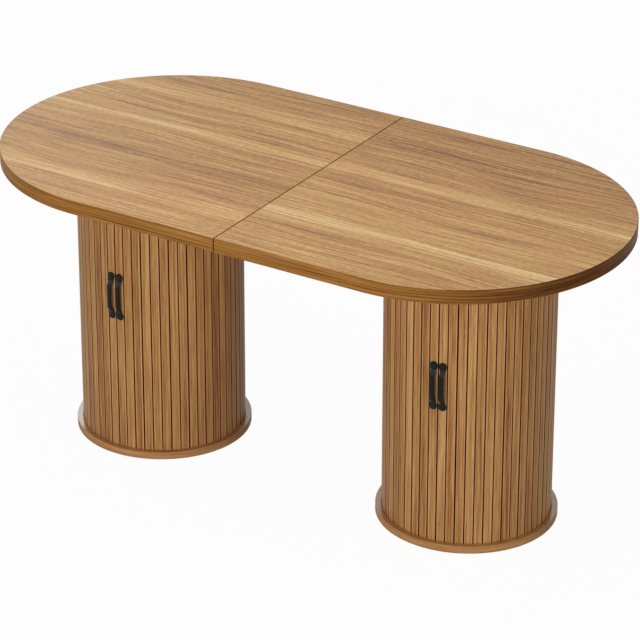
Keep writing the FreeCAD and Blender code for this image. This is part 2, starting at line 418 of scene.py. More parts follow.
# Each half of the top has its own sheet of decor: the place along the table about which its rings bow,
# how far they bow at places from the rear edge, 0, to the front edge, 1, where 0.5 is straight, and
# how pale its streaks are at such places
LEFT_FIGURE = (
    -0.49,
    [
        (0.04, 0.5), (0.11, 0.72), (0.22, 0.5), (0.32, 0.8), (0.415, 0.5), (0.47, 0.3), (0.56, 0.5),
        (0.76, 0.72), (0.85, 0.5),
    ],
    [
        (0, 0.42), (0.045, 0.38), (0.07, 0.34), (0.09, 0.44), (0.108, 0.33), (0.12, 0.41),
        (0.17, 0.5), (0.212, 0.72), (0.228, 0.4), (0.26, 0.5), (0.315, 0.44), (0.33, 0.34),
        (0.345, 0.48), (0.4, 0.52), (0.416, 0.8), (0.435, 0.56), (0.47, 0.4), (0.485, 0.5),
        (0.52, 0.44), (0.59, 0.4), (0.622, 0.26), (0.645, 0.42), (0.69, 0.38), (0.745, 0.48),
        (0.768, 0.34), (0.785, 0.5), (0.82, 0.56), (0.862, 0.74), (0.876, 0.42), (0.91, 0.52),
        (1, 0.5),
    ],
)
RIGHT_FIGURE = (
    0.44,
    [
        (0.1, 0.5), (0.25, 0.98), (0.4, 0.5), (0.58, 0.78), (0.72, 0.5), (0.745, 0.5), (0.83, 0.22),
        (0.95, 0.5),
    ],
    [
        (0, 0.37), (0.03, 0.3), (0.06, 0.28), (0.09, 0.39), (0.13, 0.34), (0.165, 0.29),
        (0.2, 0.34), (0.225, 0.43), (0.236, 0.28), (0.25, 0.41), (0.27, 0.37), (0.33, 0.43),
        (0.375, 0.51), (0.405, 0.7), (0.425, 0.62), (0.436, 0.38), (0.46, 0.46), (0.485, 0.4),
        (0.54, 0.52), (0.575, 0.38), (0.59, 0.56), (0.66, 0.52), (0.724, 0.54), (0.731, 0.92),
        (0.741, 0.8), (0.76, 0.7), (0.775, 0.58), (0.8, 0.54), (0.832, 0.36), (0.85, 0.5),
        (0.93, 0.46), (1, 0.5),
    ],
)
BOW_DEPTH = 0.046
BOW_REACH = 0.31


def bowed_figure(tree, x, y, drift, middle, bows, tones):
    """Tone of one half's streaks, and the place across the table that its grain follows. Its rings
    bow in a shallow V, which fades out along the table."""
    front_share = {1: END_RADIUS, 2: -END_RADIUS}
    share = add(tree, "MapRange", {0: y, **front_share})
    bow = add(tree, "ValToRGB", {0: share}, bows)
    off = add(tree, "Math", {0: x, 1: middle}, operation="SUBTRACT")
    away = add(tree, "Math", {0: off}, operation="ABSOLUTE")
    fade = {0: away, 1: 0, 2: BOW_REACH, 3: 1, 4: 0}
    slope = add(tree, "MapRange", fade, interpolation_type="SMOOTHSTEP")
    dip = add(tree, "Math", {0: bow, 1: 0.5}, operation="SUBTRACT")
    dip = add(tree, "Math", {0: dip, 1: slope}, operation="MULTIPLY")
    bent = add(tree, "Math", {0: dip, 1: BOW_DEPTH, 2: drift}, operation="MULTIPLY_ADD")
    ring = add(tree, "MapRange", {0: bent, **front_share})
    return add(tree, "ValToRGB", {0: ring}, tones), bent


def teak_top_laminate():
    """Melamine laminate with a printed teak decor, pressed on a board and satin. Its figure runs
    along the table: broad streaks, a few pale ones, wavy dark growth rings and fine pores."""
    finish, tree = new_finish("teak_top_laminate")
    x, y, _ = add(tree, "SeparateXYZ", {0: own_place(tree)}).outputs

    # The grain wanders by about 5 mm over 0.4 m and ripples by under 1 mm every 40 mm
    wander = streaks(tree, (2.4, 7, 1), 2)
    ripple = streaks(tree, (24, 40, 1), 2)
    drift = sums(tree, y, (wander, 0.5, 0.02), (ripple, 0.5, 0.0055))
    left_tone, left_bent = bowed_figure(tree, x, y, drift, *LEFT_FIGURE)
    right_tone, right_bent = bowed_figure(tree, x, y, drift, *RIGHT_FIGURE)
    right_half = add(tree, "Math", {0: x, 1: 0}, operation="GREATER_THAN")
    tone = add(tree, "Mix", {0: right_half, 2: left_tone, 3: right_tone})
    bent = add(tree, "Mix", {0: right_half, 2: left_bent, 3: right_bent})

    # Cells 45 mm, 12.5 mm and 6 mm wide for streaks, 3.6 by 14 mm for dashes, and 3.3 by 26 mm for
    # pores, which are drawn coarser than they are
    followed = add(tree, "CombineXYZ", {0: x, 1: bent, 2: right_half})
    broad = streaks(tree, (0.9, 22, 40), 2, place=followed)
    middling = streaks(tree, (1.8, 80, 40), 3, place=followed)
    fine = streaks(tree, (3, 165, 40), 3, 0.65, place=followed)
    dashes = streaks(tree, (70, 280, 40), 2, 0.6, place=followed)
    pores = streaks(tree, (38, 300, 40), 3, 0.65, place=followed)
    pore_marks = add(tree, "MapRange", {0: pores, 1: 0.54, 2: 0.7})
    # Thin dark growth rings: level lines of a field with cells 33 mm wide and 1 m long, as closed loops
    rings = streaks(tree, (1, 30, 40), 2, place=followed)
    ring = add(tree, "Math", {0: rings, 1: 0.055}, operation="PINGPONG")
    ring = add(tree, "MapRange", {0: ring, 1: 0, 2: 0.016, 3: 1, 4: 0})
    grain = (broad, 0.5, 0.2), (middling, 0.5, 0.54), (fine, 0.5, 1.72), (dashes, 0.5, 0.75)
    marks = (ring, 0.15, -0.11), (pore_marks, 0.25, -0.18)
    shade = sums(tree, 0.44, (tone, 0.48, 1.05), *grain, *marks)
    shades = [
        (0, "#82542E"), (0.08, "#926339"), (0.23, "#A97B49"), (0.35, "#BB8C55"), (0.455, "#C7975F"),
        (0.575, "#D3A466"), (0.695, "#DDB272"), (0.83, "#E9C489"), (1, "#F1D5A1"),
    ]
    colour = add(tree, "ValToRGB", {0: shade}, shades)
    # Patches 140 mm wide and 0.8 m long lean to pink or to yellow by a degree of hue
    lean = streaks(tree, (1.2, 7, 40), 1, place=followed)
    lean = add(tree, "MapRange", {0: lean, 1: 0.3, 2: 0.7, 3: 0.4975, 4: 0.5025})
    colour = add(tree, "HueSaturation", {"Hue": lean, "Color": colour})
    # The board under the laminate is brown at the eased edges of the seam; painted a little past them with
    # no specular, it is also painted shade of the seam
    colour, specular = seam_core_and_shade(tree, x, colour, "#7C4C0B", 0.22, 0.0013, 0.002)
    gloss = add(tree, "MapRange", {0: fine, 1: 0.3, 2: 0.7, 3: 0.4, 4: 0.5})
    relief = sums(tree, 0, (pore_marks, 0, -1), (fine, 0.5, 0.8))
    return surfaced(finish, colour, gloss, (relief, 0.1, 0.0003), specular)


def teak_edge_banding(name, shades, right_end_shade=0):
    """Plastic edge banding with the same teak decor, ironed on: its grain runs round the edge in
    level streaks. shades go from its darkest lines to its palest. The number after them is painted
    shade: how far the band is darkened towards the right end of the table. Its top 3 mm are darkened
    by painted shade as well."""
    finish, tree = new_finish(name)
    x, _, z = add(tree, "SeparateXYZ", {0: own_place(tree)}).outputs
    # Painted shade sets in right of the middle, and more painted shade darkens the band's top 3 mm
    right_end_shade_mask = add(tree, "MapRange", {0: x, 1: 0.44, 2: 0.82}, interpolation_type="SMOOTHSTEP")
    top_edge_shade = add(tree, "MapRange", {0: z, 1: TOP_HIGH - 0.003, 2: TOP_HIGH - 0.0008})
    # Cells 13 mm, 4 mm and 1.4 mm high, and 770 mm, 380 mm and 110 mm long
    broad = streaks(tree, (1.3, 1.3, 75), 2)
    middling = streaks(tree, (2.6, 2.6, 240), 2)
    fine = streaks(tree, (9, 9, 700), 3)
    # Dark growth rings 1.5 mm high and 6 to 8 mm apart, arched over each half. They wander over cells
    # 200 by 33 mm, and fade in and out over cells 330 by 17 mm
    share = add(tree, "MapRange", {0: x, 1: -TABLE_LENGTH / 2, 2: TABLE_LENGTH / 2})
    arches = [
        (0.1, 0.3), (0.26, 0.45), (0.345, 0.5), (0.395, 0.76), (0.445, 0.85), (0.499, 0.72),
        (0.501, 0.35), (0.57, 0.24), (0.645, 0.61), (0.72, 0.82), (0.81, 0.98), (0.86, 1),
        (0.92, 0.77), (0.95, 0.6), (1, 0.3),
    ]
    bow = add(tree, "ValToRGB", {0: share}, arches)
    bow.color_ramp.interpolation = "B_SPLINE"
    wander = streaks(tree, (5, 5, 30), 2)
    bent = sums(tree, z, (bow, 0.5, -0.0108), (wander, 0.5, 0.004))
    level = add(tree, "MapRange", {0: bent, 1: TOP_LOW - 0.006, 2: TOP_HIGH + 0.005})
    lines = [
        (0.09, 0.1), (0.12, 1), (0.16, 0.15), (0.265, 0.1), (0.305, 0.85), (0.345, 0.15),
        (0.43, 0), (0.46, 1), (0.495, 0.2), (0.575, 0.05), (0.6, 0.6), (0.63, 0.1),
        (0.74, 0.1), (0.78, 0.45), (0.85, 0.05),
    ]
    rings = add(tree, "ValToRGB", {0: level}, lines)
    fade = streaks(tree, (3, 3, 60), 1)
    fade = add(tree, "MapRange", {0: fade, 1: 0.36, 2: 0.56, 3: 0.15, 4: 1})
    ring = add(tree, "Math", {0: rings, 1: fade}, operation="MULTIPLY")
    grain = (broad, 0.5, 0.5), (middling, 0.5, 0.75), (fine, 0.5, 1.1), (ring, 0.2, -0.34)
    # The last two terms are painted shade
    shade = sums(tree, 0.52, *grain, (right_end_shade_mask, 0, -right_end_shade), (top_edge_shade, 0, -0.24))
    colour = add(tree, "ValToRGB", {0: shade}, list(zip((0, 0.25, 0.5, 0.9), shades)))
    # Painted shade of the seam: the banding is nearly black at its cut ends, with no specular
    colour, specular = seam_core_and_shade(tree, x, colour, "#2A1406", 0.04, 0.001, 0.0017)
    return surfaced(finish, colour, 0.45, (fine, 0.08, 0.0003), specular)


def teak_board_laminate(name, per_metre, shades, rough=0.45, coat=0):
    """Laminated board of the drums: the decor's streaks along one axis, finer and calmer than on
    the top, with a satin surface, or a glossy one under a coat of lacquer. shades are its dark,
    middle and pale colour."""
    finish, tree = new_finish(name)
    # Two finer patterns: 4 and 16 times finer across the grain, and 2 and 6 times along it
    low = min(per_metre)
    broad = streaks(tree, per_metre, 3, 0.55, 0.4)
    middling = streaks(tree, [s * 4 if s > low else s * 2 for s in per_metre], 3)
    fine = streaks(tree, [s * 16 if s > low else s * 6 for s in per_metre], 3)
    shade = sums(tree, 0.5, (broad, 0.5, 0.8), (middling, 0.5, 0.6), (fine, 0.5, 0.45))
    colour = add(tree, "ValToRGB", {0: shade}, list(zip((0.05, 0.5, 0.95), shades)))
    lacquer = {"Coat Weight": coat, "Coat Roughness": 0.2}
    return surfaced(finish, colour, rough, (fine, 0.08, 0.0003), 0.45, **lacquer)


def oiled_slat_wood():
    """Slats sawn from hardwood, oiled and matt. No two match: each has its own tone, from honey to
    red-brown, upright grain and dark flecks. A pale strip along one edge, stronger on some slats than
    on others, is a painted highlight, as are the paler edges of the face; the dark red sides are painted
    shade."""
    finish, tree = new_finish("oiled_slat_wood")
    tone = add(tree, "Attribute", attribute_name="slat_tone").outputs["Fac"]
    across = add(tree, "Attribute", attribute_name="slat_across").outputs["Fac"]
    # Each slat is cut from another part of the log
    lift = add(tree, "Math", {0: tone, 1: 17}, operation="MULTIPLY")
    offset = add(tree, "CombineXYZ", {0: lift, 1: 0, 2: lift})
    own = add(tree, "VectorMath", {0: own_place(tree), 1: offset}, operation="ADD")

    # Cells 7 mm, 3.4 mm and 1.2 mm wide for the grain, 170 mm for slow changes, 1.6 by 13 mm for
    # flecks and 6 by 10 mm for a few pin knots
    broad = streaks(tree, (140, 140, 2.6), 2, place=own)
    middling = streaks(tree, (290, 290, 6), 3, 0.65, place=own)
    fine = streaks(tree, (850, 850, 22), 2, place=own)
    slow = streaks(tree, (6, 6, 4.5), 2, place=own)
    flecks = streaks(tree, (620, 620, 75), 2, 0.6, place=own)
    marks = add(tree, "MapRange", {0: flecks, 1: 0.64, 2: 0.74})
    knots = streaks(tree, (170, 170, 95), 1, place=own)
    pins = add(tree, "MapRange", {0: knots, 1: 0.76, 2: 0.8})
    grain = (broad, 0.5, 1.2), (middling, 0.5, 1.7), (fine, 0.5, 0.9), (slow, 0.5, 0.3)
    shade = sums(tree, tone, *grain, (marks, 0, -0.35), (pins, 0, -0.55))
    shades = [
        (0, "#784629"), (0.2, "#94623A"), (0.38, "#A67441"), (0.55, "#B0804C"), (0.75, "#BB8E58"),
        (1, "#CCA168"),
    ]
    colour = add(tree, "ValToRGB", {0: shade}, shades)
    # Painted highlight: a pale strip along one edge of each slat, stronger on some slats than on others
    painted_strip_highlight = add(tree, "MapRange", {0: across, 1: 0.45, 2: 0.72, 3: 0, 4: 0.55})
    chosen = add(tree, "Math", {0: tone, 1: 7.3}, operation="MULTIPLY")
    chosen = add(tree, "Math", {0: chosen, 1: 1}, operation="PINGPONG")
    painted_strip_highlight = add(tree, "Math", {0: painted_strip_highlight, 1: chosen}, operation="MULTIPLY")
    colour = add(tree, "Mix", {0: painted_strip_highlight, 6: colour, 7: "#D2A46B"}, data_type="RGBA")
    # The edges of the face are painted paler, a painted highlight, and the sides are painted dark red with
    # no specular, painted shade in the gaps
    width = add(tree, "Math", {0: across}, operation="ABSOLUTE")
    painted_highlight = add(tree, "MapRange", {0: width, 1: 0.7, 2: 0.86, 3: 0, 4: 0.45})
    colour = add(tree, "Mix", {0: painted_highlight, 6: colour, 7: "#DAB080"}, data_type="RGBA")
    # Painted shade: the slats' sides, in the gaps, are dark red and lose their specular
    side = add(tree, "MapRange", {0: width, 1: 0.9, 2: 0.955})
    colour = add(tree, "Mix", {0: side, 6: colour, 7: "#561602"}, data_type="RGBA")
    specular = add(tree, "MapRange", {0: side, 3: 0.15, 4: 0})
    gloss = add(tree, "MapRange", {0: middling, 1: 0.3, 2: 0.7, 3: 0.48, 4: 0.58})
    relief = sums(tree, middling, (fine, 0.5, 0.6), (marks, 0, -0.8))
    return surfaced(finish, colour, gloss, (relief, 0.22, 0.0004), specular, ior=1.48)


def raw_beech():
    """Unfinished beech: pale pink-brown, dry and matt, with short fine rays."""
    finish, tree = new_finish("raw_beech")
    # Cells 4 by 110 mm for the grain, and 1.1 by 4.5 mm for the rays
    grain = streaks(tree, (260, 9, 260), 3)
    rays = streaks(tree, (900, 220, 900), 1)
    marks = add(tree, "MapRange", {0: rays, 1: 0.62, 2: 0.72})
    shade = sums(tree, 0.5, (grain, 0.5, 1), (marks, 0, -0.25))
    colour = add(tree, "ValToRGB", {0: shade}, [(0.1, "#A67B56"), (0.5, "#C49C74"), (0.9, "#D6B48C")])
    return surfaced(finish, colour, 0.72, (grain, 0.2, 0.0003))


def glued_canvas():
    """Dyed cotton canvas, plain weave, glued to the slats: matt, with threads 0.8 mm apart."""
    finish, tree = new_finish("glued_canvas")
    thread_spacing = 0.0008
    cloth = add(tree, "UVMap", uv_map="weave")
    along, up, _ = add(tree, "SeparateXYZ", {0: cloth}).outputs
    threads = []
    for axis, phase in ((along, 0), (up, pi / 2)):
        turned = add(tree, "Math", {0: axis, 1: pi / thread_spacing, 2: phase}, operation="MULTIPLY_ADD")
        wave = add(tree, "Math", {0: turned}, operation="SINE")
        threads.append(add(tree, "Math", {0: wave}, operation="ABSOLUTE"))
    weave = add(tree, "Math", {0: threads[0], 1: threads[1]}, operation="MULTIPLY")
    # Slubs: thicker stretches of one thread, 14 mm long
    slubs = streaks(tree, (70, 1200, 1), 2, place=cloth)
    shade = sums(tree, 0.3, (weave, 0, 0.5), (slubs, 0.5, 0.5))
    colour = add(tree, "ValToRGB", {0: shade}, [(0, "#140502"), (0.5, "#240C04"), (1, "#3A190D")])
    return surfaced(finish, colour, 0.92, (weave, 0.6, 0.0003), 0.02)


def black_powder_coat():
    """Zinc alloy with a satin black powder coat, with a faint orange peel and slight wear to a greyer
    black, and a painted highlight in grey on its upper shoulder."""
    finish, tree = new_finish("black_powder_coat")
    # Cells 1.7 mm across for the peel, and 11 mm for the wear
    peel = streaks(tree, (600, 600, 600), 2)
    worn = streaks(tree, (90, 90, 90), 3)
    colour = add(tree, "ValToRGB", {0: worn}, [(0.35, "#050505"), (0.7, "#090A0A")])
    # Painted highlight: the upper shoulder, 29 to 43 mm above the handle's middle, is painted grey
    height = add(tree, "SeparateXYZ", {0: own_place(tree)}).outputs["Z"]
    height = add(tree, "Math", {0: height, 1: HANDLE_Z + 0.036}, operation="SUBTRACT")
    height = add(tree, "Math", {0: height}, operation="ABSOLUTE")
    fade = {0: height, 1: 0.0025, 2: 0.007, 3: 0.85, 4: 0}
    painted_highlight = add(tree, "MapRange", fade, interpolation_type="SMOOTHSTEP")
    colour = add(tree, "Mix", {0: painted_highlight, 6: colour, 7: "#34363A"}, data_type="RGBA")
    gloss = add(tree, "MapRange", {0: worn, 1: 0.3, 2: 0.7, 3: 0.32, 4: 0.42})
    return surfaced(finish, colour, gloss, (peel, 0.1, 0.0002), 0.2)


def zinc_plated_steel():
    """Pressed steel with bright zinc plating: brushed along its length, a little yellow and blue."""
    finish, tree = new_finish("zinc_plated_steel")
    # Brush lines 0.6 by 17 mm, and clouds 8 mm across
    brushed = streaks(tree, (60, 1600, 1600), 2)
    clouds = streaks(tree, (120, 120, 120), 2)
    colour = add(tree, "ValToRGB", {0: clouds}, [(0.3, "#A9ABAA"), (0.55, "#BDBCB4"), (0.75, "#C9C2A8")])
    gloss = add(tree, "MapRange", {0: brushed, 1: 0.3, 2: 0.7, 3: 0.26, 4: 0.42})
    return surfaced(finish, colour, gloss, Metallic=1)


def pressed_felt():
    """Needled felt pad, dark brown, with loose fibres that catch a little light."""
    finish, tree = new_finish("pressed_felt")
    # Tufts of fibres 1.4 mm across and 0.7 mm high
    fibres = streaks(tree, (700, 700, 1500), 4, 0.7, 1.5)
    colour = add(tree, "ValToRGB", {0: fibres}, [(0.3, "#33271D"), (0.7, "#5C4938")])
    return surfaced(finish, colour, 0.95, (fibres, 0.8, 0.0005), **{"Sheen Weight": 0.3})


# The banding is darker and more orange than the top. The boards' streaks are 25 to 30 mm wide and
# 0.7 to 0.8 m long, and those of the uprights' banding 17 mm wide.
TOP_LAMINATE = teak_top_laminate()
# 0.4 darkens the banding towards the table's right end: painted shade
EDGE_BANDING = teak_edge_banding("teak_edge_banding", ("#4C2B13", "#774D21", "#95642F", "#B48548"), 0.4)
DISC_BANDING = teak_edge_banding("teak_disc_banding", ("#66411F", "#8D6036", "#AD7D4D", "#D0A172"))
DISC_LAMINATE = teak_board_laminate(
    "teak_disc_laminate", (1.2, 34, 34), ("#7D4E27", "#9E6E3C", "#C08F58"), rough=0.25, coat=1
)
INNER_SHADES = ("#96704A", "#B98F5E", "#D0AA74")
UPRIGHT_LAMINATE = teak_board_laminate("teak_upright_laminate", (40, 40, 1.4), INNER_SHADES)
UPRIGHT_BANDING = teak_board_laminate(
    "teak_upright_banding", (60, 60, 1.2), ("#7A4E22", "#9A6A31", "#B88647")
)
SHELF_LAMINATE = teak_board_laminate("teak_shelf_laminate", (1.4, 40, 40), INNER_SHADES)
SLAT_WOOD = oiled_slat_wood()
BEECH = raw_beech()
CANVAS = glued_canvas()
BLACK = black_powder_coat()
ZINC = zinc_plated_steel()
FELT = pressed_felt()


# The top


def half_oval(name, solid):
    """Right half of the top's outline, as a solid within the band or as a standing wall: half a
    cylinder, whose cut side is drawn out to the seam."""
    radius, ends = (END_RADIUS - EDGE_BAND, "NGON") if solid else (END_RADIUS, "NOTHING")
    piece = round_block(name, radius, TOP_LOW, TOP_HIGH, END_CORNERS, END_X, ends)
    with_faces(piece, anywhere)
    bpy.ops.mesh.bisect(plane_co=(END_X, 0, 0), plane_no=(1, 0, 0), use_fill=solid, clear_inner=True)
    put_down()
    if solid:
        with_faces(piece, lambda centre, normal: normal.x < -0.99)
    else:
        with_edges(piece, lambda a, b: near(a.x, END_X) and near(b.x, END_X))
    drawn_out(SEAM_GAP / 2 - END_X, 0, 0)
    put_down()
    return piece


def make_top():
    """Both halves of the top: a laminated board with an edge band round it."""
    half = half_oval("top_board_pattern", True)
    with_edges(half, lambda a, b: max(a.x, b.x) < SEAM_GAP and min(a.z, b.z) > TOP_HIGH - 1e-5)
    ease(SEAM_EASE)
    smoothed(half)

    band = half_oval("edge_band_pattern", False)
    worked(band, "SOLIDIFY", thickness=EDGE_BAND, offset=-1)

    def outside(*points):
        return all(hypot(max(p.x - END_X, 0), p.y) > END_RADIUS - 0.0002 for p in points)

    with_edges(band, lambda a, b: near(a.z, b.z) and outside(a, b))
    ease(EDGE_EASE, 3)
    with_edges(band, lambda a, b: max(a.x, b.x) < SEAM_GAP and abs(a.z - b.z) > 0.02 and outside(a, b))
    ease(BAND_SEAM_EASE)
    smoothed(band, 50)

    for side, azimuth in (("right", 0), ("left", 180)):
        top = copied(half, f"top_{side}", turn(azimuth))
        fitted(finished(top, TOP_LAMINATE), "carcass", "top_laminate", f"top_board_{side}")
        edge = copied(band, f"edging_{side}", turn(azimuth))
        fitted(finished(edge, EDGE_BANDING), "carcass", "edge_banding", f"edge_band_{side}")
    thrown_away(half, band)


# Screws


def screw_head(name, radius, height):
    """Domed screw head with a cross recess, standing on z = 0 with its recess up."""
    head = round_block(name, radius, 0, height, 28)
    with_edges(head, lambda a, b: min(a.z, b.z) > height - 1e-6 and near(a.z, b.z))
    ease(min(height * 0.7, radius * 0.35), 3)
    recess = (radius * 1.05, radius * 0.24, height * 1.1)
    arms = [block(f"{name}_recess_{azimuth}", (0, 0, height), recess, azimuth) for azimuth in (0, 90)]
    for arm in arms:
        worked(head, "BOOLEAN", operation="DIFFERENCE", object=arm, solver="EXACT")
    thrown_away(*arms)
    return smoothed(finished(head, ZINC), 40)


def facing(place, direction, spin=0):
    """Matrix that sets a thing at a place, its own +Z towards a direction, spun about it."""
    aim = Vector(direction).to_track_quat("Z", "Y").to_matrix().to_4x4()
    return Matrix.Translation(place) @ aim @ turn(spin)


def screws(name, pattern, places):
    """One piece of screw heads, each at a place with a direction, each turned as it came tight."""
    chance = random.Random(name)
    heads = [
        copied(pattern, f"{name}_{i}", facing(place, direction, chance.uniform(0, 90)))
        for i, (place, direction) in enumerate(places)
    ]
    return joined(heads, name)


# Slatted curtains


def slat_pattern(face, low, high):
    """One slat that faces -Y, its front corners rounded, cut across so that it can bow a little."""
    middle = (0, SLAT_THICKNESS / 2 - face, (low + high) / 2)
    slat = block("slat_pattern", middle, (SLAT_WIDTH, SLAT_THICKNESS, high - low))
    with_edges(slat, lambda a, b: abs(a.z - b.z) > 0.1 and max(a.y, b.y) < 0.001 - face)
    ease(SLAT_EASE, 3)
    with_edges(slat, lambda a, b: abs(a.z - b.z) > 0.1)
    bpy.ops.mesh.subdivide(number_cuts=SLAT_CUTS)
    put_down()
    return slat


def tone_unlike(last_tone, chance):
    """A slat's tone, from 0, dark, to 1, pale, that differs from the last one's."""
    tone = last_tone
    while abs(tone - last_tone) < TONE_STEP or not TONE_LIMITS[0] < tone < TONE_LIMITS[1]:
        tone = chance.gauss(SLAT_TONE, TONE_SPREAD)
    return tone


def curtain(name, pattern, azimuths, low, high):
    """Row of slats copied round a drum, no two alike in tone or quite straight."""
    chance = random.Random(name)
    slats = []
    tone = 0.5
    for i, azimuth in enumerate(azimuths):
        slat = copied(pattern, f"{name}_{i}")
        mesh = slat.data
        across = mesh.attributes.new("slat_across", "FLOAT", "POINT")
        across.data.foreach_set("value", [2 * v.co.x / SLAT_WIDTH for v in mesh.vertices])
        tone = tone_unlike(tone, chance)
        tones = mesh.attributes.new("slat_tone", "FLOAT", "FACE")
        tones.data.foreach_set("value", [tone] * len(mesh.polygons))
        # Widths differ by up to 0.4 mm and places by 0.4 mm, so some gaps are twice as wide as others;
        # the slats at the ends of a row stay in place
        width = chance.uniform(0.98, 1.02)
        place = chance.uniform(-SLAT_STRAY, SLAT_STRAY)
        if azimuth in (azimuths[0], azimuths[-1]):
            width, place = 0.997, 0
        bow = chance.uniform(0.00004, 0.00012)
        phase = chance.uniform(0, 2 * pi)
        lean = chance.uniform(-0.0002, 0.0002)
        waves = chance.uniform(1.0, 2.4)
        for v in mesh.vertices:
            share = (v.co.z - low) / (high - low)
            curve = bow * sin(2 * pi * waves * share + phase)
            v.co.x = v.co.x * width + place + curve + lean * (share - 0.5)
        mesh.transform(turn(azimuth))
        slats.append(slat)
    return smoothed(joined(slats, name), 40)


def cloth(name, per_turn, first, azimuths, distance):
    """Canvas on the backs of a row of slats: a ring of flat faces drawn up, cut to the row, and
    given its weave."""
    corner = distance / cos(pi / per_turn)
    bpy.ops.mesh.primitive_circle_add(vertices=per_turn, radius=corner, location=(0, 0, CLOTH_LOW))
    sheet = named(name)
    # The ring's first corner is brought to a boundary between two slats
    start = sheet.data.vertices[0].co
    sheet.data.transform(turn(first - degrees(atan2(start.x, -start.y))))
    with_edges(sheet, anywhere)
    for row in range(CLOTH_ROWS):
        drawn_out(0, 0, (CLOTH_HIGH - CLOTH_LOW) / CLOTH_ROWS)
    put_down()

    def beyond(centre, normal):
        azimuth = degrees(atan2(centre.x, -centre.y))
        return not any(abs((azimuth - a + 180) % 360 - 180) < 180 / per_turn for a in azimuths)

    with_faces(sheet, beyond)
    bpy.ops.mesh.delete(type="FACE")
    put_down()
    with_faces(sheet, anywhere)
    bpy.ops.mesh.normals_make_consistent(inside=False)
    put_down()
    weave = sheet.data.uv_layers.new(name="weave")
    for loop in sheet.data.loops:
        point = sheet.data.vertices[loop.vertex_index].co
        azimuth = (degrees(atan2(point.x, -point.y)) - azimuths[0] + 90) % 360
        weave.data[loop.index].uv = (radians(azimuth) * distance, point.z)
    return thickened(sheet)


def thickened(sheet):
    """Gives the canvas its thickness, towards the inside of the drum."""
    faces = sheet.data.polygons
    outward = sum(face.center.xy.normalized().dot(face.normal.xy) for face in faces) > 0
    worked(sheet, "SOLIDIFY", thickness=CLOTH_THICKNESS, offset=-1 if outward else 1)
    return smoothed(finished(sheet, CANVAS), 60)


def hung(slats, canvas, x, body, row):
    """Puts a row of slats and its canvas in the drum at x, on their body."""
    for piece in (slats, canvas):
        piece.data.transform(along_table(x))
    fitted(finished(slats, SLAT_WOOD), body, "slat_wood", f"{row}_slats")
    fitted(canvas, body, "backing_canvas", f"{row}_cloth")


# Handles


def bow_handle():
    """Bow handle on a slat that faces -Y: a rounded plate drawn out along the handle, station by
    station, from one round foot over the raised grip to the other."""
    lower_half = [(-z, inner, outer, half) for z, inner, outer, half in reversed(HANDLE_STATIONS)]
    bpy.ops.mesh.primitive_plane_add(size=2)
    grip = named("bow_handle")
    with_faces(grip, anywhere)
    bpy.ops.mesh.bevel(offset=0.85, segments=4, affect="VERTICES")
    bpy.ops.mesh.select_all(action="SELECT")
    at, wide, deep = Vector((0, 0, 0)), 1, 1
    for i, (z, inner, outer, half) in enumerate(HANDLE_STATIONS + lower_half):
        to = Vector((0, -SLAT_FACE - (inner + outer) / 2000, HANDLE_Z + z / 1000))
        new_wide, new_deep = half / 1000, (outer - inner) / 2000
        if i:
            drawn_out(*(to - at))
        else:
            bpy.ops.transform.translate(value=to - at)
        bpy.ops.transform.resize(value=(new_wide / wide, new_deep / deep, 1), center_override=to)
        at, wide, deep = to, new_wide, new_deep
    bpy.ops.mesh.select_all(action="SELECT")
    bpy.ops.mesh.normals_make_consistent(inside=False)
    put_down()
    worked(grip, "SUBSURF", levels=1, render_levels=1)
    bpy.ops.object.shade_smooth()
    return finished(grip, BLACK)


def make_doors(head):
    """The four tambour doors, each with its slats, canvas and handle."""
    pattern = slat_pattern(SLAT_FACE, DOOR_SLAT_LOW, DOOR_SLAT_HIGH)
    grip = bow_handle()
    back = SLAT_FACE - SLAT_THICKNESS
    heights = (HANDLE_Z - HANDLE_SCREW_Z, HANDLE_Z + HANDLE_SCREW_Z)
    places = [((0, CLOTH_THICKNESS - back, z), (0, 1, 0)) for z in heights]
    for drum, x in DRUMS.items():
        meeting = DOORS_TURNED[drum]
        for door, side in DOOR_SIDES.items():
            body = f"{drum}_{door}"
            azimuths = sorted(meeting + side * SLAT_PITCH * (k + 0.5) for k in range(DOOR_SLATS))
            slats = curtain(f"{body}_curtain", pattern, azimuths, DOOR_SLAT_LOW, DOOR_SLAT_HIGH)
            canvas = cloth(f"{body}_canvas", SLATS_ROUND, meeting, azimuths, back)
            # The edges where two doors meet are cut back, clear of each other
            canvas.data.transform(turn(-meeting))
            for v in canvas.data.vertices:
                if abs(v.co.x) < 0.0005 and v.co.y < 0:
                    v.co.x += side * CLOTH_CUT_BACK
            canvas.data.transform(turn(meeting))
            hung(slats, canvas, x, body, body)

            pull_place = along_table(x) @ turn(meeting + side * SLAT_PITCH / 2)
            fitted(copied(grip, f"{body}_pull", pull_place), body, "handle_black", f"{body}_handle")
            fixing = screws(f"{body}_handle_screws", head, places)
            fixing.data.transform(pull_place)
            fitted(fixing, body, "plate_steel")
    thrown_away(pattern, grip)


# Drums


